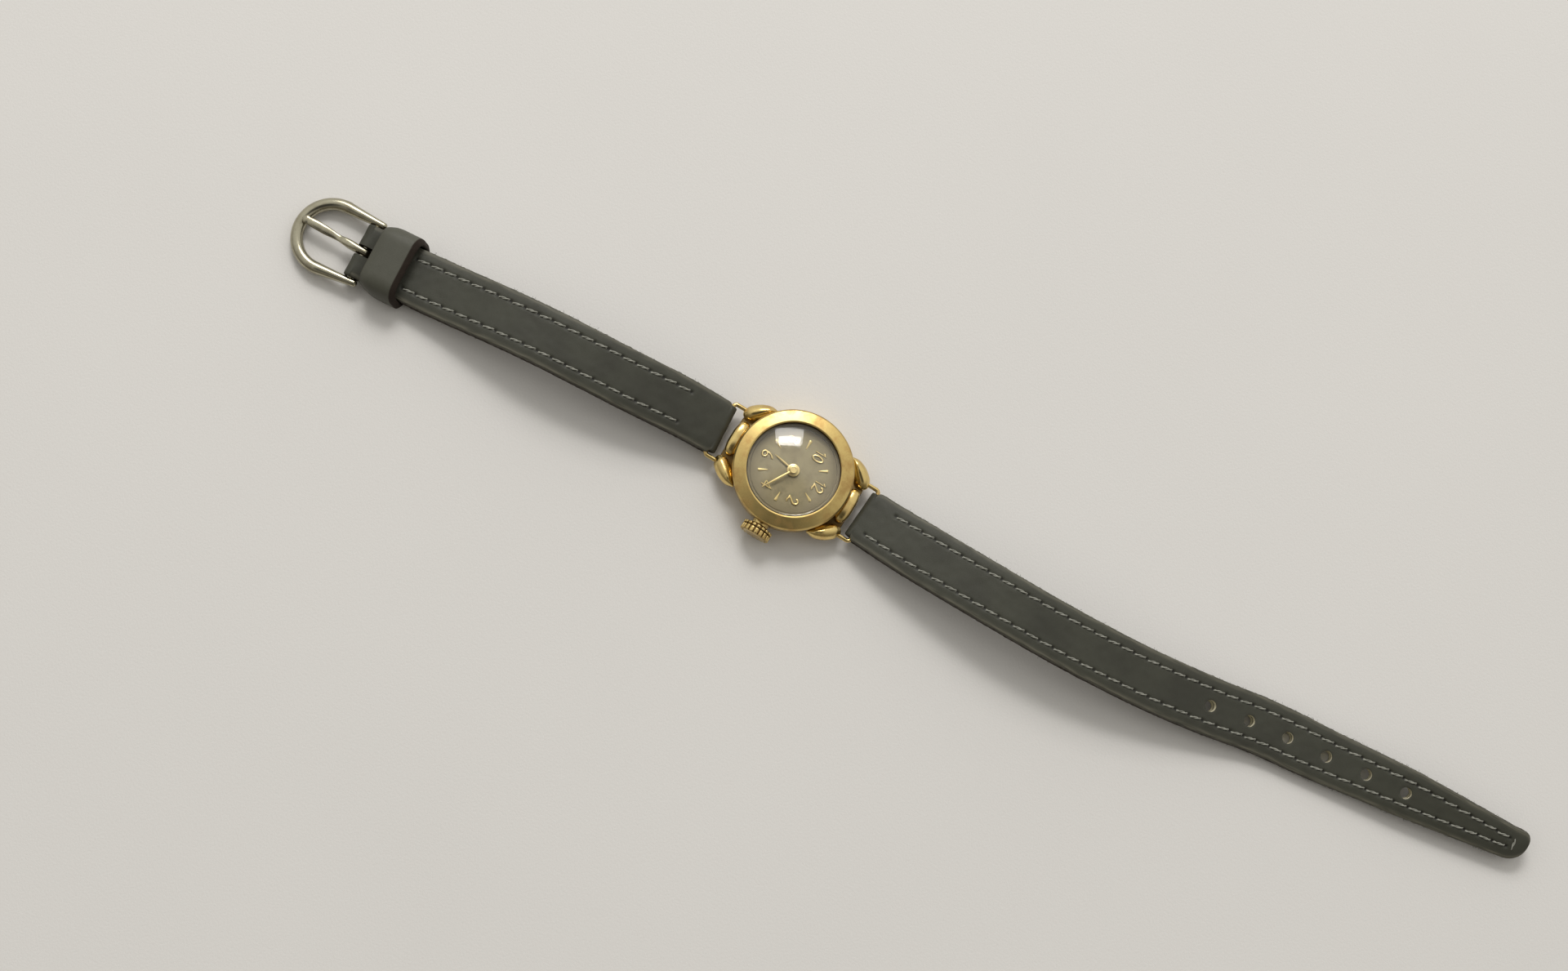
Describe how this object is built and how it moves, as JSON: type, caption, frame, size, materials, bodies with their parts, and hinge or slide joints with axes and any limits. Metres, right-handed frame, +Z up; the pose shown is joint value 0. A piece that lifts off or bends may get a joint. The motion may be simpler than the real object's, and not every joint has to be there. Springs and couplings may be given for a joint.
{
  "type": "wristwatch",
  "caption": "Small round gold-cased wristwatch with a domed crystal, hand-wound movement and two-piece leather strap, lying open and face up.",
  "frame": {"origin": "centre of the case back's flat resting face, on the surface that the watch lies on", "axes": "+Z up through the dial and crystal, +Y from the centre towards twelve o'clock along the long strap, +X towards three o'clock and the crown"},
  "size_m": [0.0222, 0.1924, 0.0073],
  "materials": {
    "case_gold": "gold plating over brass, satin from wear",
    "bezel_gold": "gold plating, polished, with fine hairline scratches",
    "crown_gold": "gold plating, polished flutes",
    "dial_gold": "gilt, polished",
    "crystal_acrylic": "clear domed acrylic with light scratches",
    "dial_silver": "silvered, fine matt sunray",
    "movement_plate": "nickel plated, fine grained",
    "movement_brass": "gilt brass",
    "movement_steel": "polished steel",
    "hairspring_blue": "blued steel",
    "ruby": "synthetic ruby",
    "strap_leather": "grained grey leather with worn dark edges",
    "strap_lining": "smooth dark lining leather",
    "strap_thread": "light grey twisted thread",
    "buckle_nickel": "nickel plating, worn"
  },
  "bodies": {
    "case": {"case_body": "case_gold", "case_back": "case_gold", "bezel": "bezel_gold", "crystal": "crystal_acrylic", "crown_tube": "movement_brass", "wire_loop_12": "case_gold", "wire_loop_6": "case_gold", "dial": "dial_silver", "dial_numerals": "dial_gold", "dial_markers": "dial_gold", "main_plate": "movement_plate", "barrel_bridge": "movement_plate", "train_bridge": "movement_plate", "pallet_bridge": "movement_plate", "balance_cock": "movement_plate", "bridge_screws": "movement_steel", "jewels": "ruby", "click_spring": "movement_steel"},
    "setting": {"setting_lever": "movement_steel"},
    "crown": {"crown": "crown_gold", "winding_stem": "movement_steel"},
    "winding": {"winding_pinion": "movement_steel", "sliding_pinion": "movement_steel"},
    "crown_wheel": {"crown_wheel": "movement_steel"},
    "ratchet": {"ratchet_wheel": "movement_steel", "barrel_arbor": "movement_steel"},
    "click": {"click": "movement_steel"},
    "barrel": {"barrel_drum": "movement_brass", "barrel_cover": "movement_brass", "mainspring": "movement_steel"},
    "center": {"center_wheel": "movement_brass"},
    "third": {"third_wheel": "movement_brass"},
    "fourth": {"fourth_wheel": "movement_brass"},
    "escape": {"escape_wheel": "movement_steel"},
    "pallet": {"pallet_fork": "movement_steel"},
    "balance": {"balance_wheel": "movement_brass", "hairspring": "hairspring_blue"},
    "minute": {"minute_hand": "dial_gold", "cannon_pinion": "movement_steel"},
    "hour": {"hour_hand": "dial_gold", "hour_wheel": "movement_brass"},
    "minute_wheel": {"minute_wheel": "movement_brass"},
    "long_strap": {"long_strap_top": "strap_leather", "long_strap_lining": "strap_lining", "long_strap_stitching": "strap_thread"},
    "short_strap": {"short_strap_top": "strap_leather", "short_strap_lining": "strap_lining", "short_strap_stitching": "strap_thread", "keeper": "strap_leather"},
    "buckle": {"buckle_frame": "buckle_nickel", "buckle_bar": "buckle_nickel"},
    "tongue": {"buckle_tongue": "buckle_nickel"}
  },
  "joints": [
    {"name": "crown_pull", "type": "slide", "parent": "case", "child": "setting", "axis": [1, 0, 0], "range_m": [0, 0.0008]},
    {"name": "crown_turn", "type": "hinge", "parent": "setting", "child": "crown", "pos_m": [0, 0, 0.0023], "axis": [1, 0, 0], "continuous": true},
    {"name": "winding_pinion_turn", "type": "hinge", "parent": "case", "child": "winding", "pos_m": [0, 0, 0.0023], "axis": [1, 0, 0], "continuous": true},
    {"name": "crown_wheel_turn", "type": "hinge", "parent": "case", "child": "crown_wheel", "pos_m": [0.00255, 0, 0.00105], "axis": [0, 0, 1], "continuous": true},
    {"name": "ratchet_turn", "type": "hinge", "parent": "case", "child": "ratchet", "pos_m": [0.00076, 0.00284, 0.00105], "axis": [0, 0, 1], "continuous": true},
    {"name": "click_swing", "type": "hinge", "parent": "case", "child": "click", "pos_m": [-0.00158, 0.0042, 0.00105], "axis": [0, 0, 1], "range_deg": [0, 12], "stiffness_Nm_per_rad": 0.00000001},
    {"name": "fourth_turn", "type": "hinge", "parent": "case", "child": "fourth", "pos_m": [0.00018, -0.00351, 0.002], "axis": [0, 0, 1], "continuous": true},
    {"name": "third_turn", "type": "hinge", "parent": "case", "child": "third", "pos_m": [0.00089, -0.00191, 0.0016], "axis": [0, 0, 1], "continuous": true},
    {"name": "center_turn", "type": "hinge", "parent": "case", "child": "center", "pos_m": [0, 0, 0.002], "axis": [0, 0, 1], "continuous": true},
    {"name": "escape_turn", "type": "hinge", "parent": "case", "child": "escape", "pos_m": [-0.00122, -0.00391, 0.0023], "axis": [0, 0, 1], "continuous": true},
    {"name": "barrel_turn", "type": "hinge", "parent": "case", "child": "barrel", "pos_m": [0.00076, 0.00284, 0.0018], "axis": [0, 0, 1], "continuous": true},
    {"name": "pallet_swing", "type": "hinge", "parent": "case", "child": "pallet", "pos_m": [-0.00232, -0.00391, 0.0023], "axis": [0, 0, 1], "range_deg": [-6, 6]},
    {"name": "balance_swing", "type": "hinge", "parent": "case", "child": "balance", "pos_m": [-0.00341, -0.0025, 0.0015], "axis": [0, 0, 1], "range_deg": [-270, 270], "stiffness_Nm_per_rad": 0.000000005},
    {"name": "minute_hand_turn", "type": "hinge", "parent": "case", "child": "minute", "pos_m": [0, 0, 0.0042], "axis": [0, 0, -1], "continuous": true},
    {"name": "hour_hand_turn", "type": "hinge", "parent": "case", "child": "hour", "pos_m": [0, 0, 0.004], "axis": [0, 0, -1], "continuous": true},
    {"name": "minute_wheel_turn", "type": "hinge", "parent": "case", "child": "minute_wheel", "pos_m": [-0.00145, 0.00084, 0.0032], "axis": [0, 0, -1], "continuous": true},
    {"name": "long_strap_swing", "type": "hinge", "parent": "case", "child": "long_strap", "pos_m": [0, 0.0118, 0.0022], "axis": [1, 0, 0], "range_deg": [-85, 75]},
    {"name": "short_strap_swing", "type": "hinge", "parent": "case", "child": "short_strap", "pos_m": [0, -0.0118, 0.0022], "axis": [-1, 0, 0], "range_deg": [-85, 75]},
    {"name": "buckle_swing", "type": "hinge", "parent": "short_strap", "child": "buckle", "pos_m": [0.00505, -0.0667, 0.00192], "axis": [-0.9954, -0.0958, 0], "range_deg": [-60, 40]},
    {"name": "tongue_swing", "type": "hinge", "parent": "buckle", "child": "tongue", "pos_m": [0.00505, -0.0667, 0.00192], "axis": [-0.9954, -0.0958, 0], "range_deg": [0, 60]}
  ],
  "couplings": [
    {"joint": "winding_pinion_turn", "follows": "crown_turn", "ratio": 1},
    {"joint": "crown_wheel_turn", "follows": "crown_turn", "ratio": 0.6},
    {"joint": "ratchet_turn", "follows": "crown_turn", "ratio": -0.42857},
    {"joint": "third_turn", "follows": "fourth_turn", "ratio": -0.125},
    {"joint": "center_turn", "follows": "fourth_turn", "ratio": 0.016667},
    {"joint": "escape_turn", "follows": "fourth_turn", "ratio": -10},
    {"joint": "barrel_turn", "follows": "fourth_turn", "ratio": -0.0020833},
    {"joint": "hour_hand_turn", "follows": "minute_hand_turn", "ratio": 0.083333},
    {"joint": "minute_wheel_turn", "follows": "minute_hand_turn", "ratio": -0.33333}
  ]
}
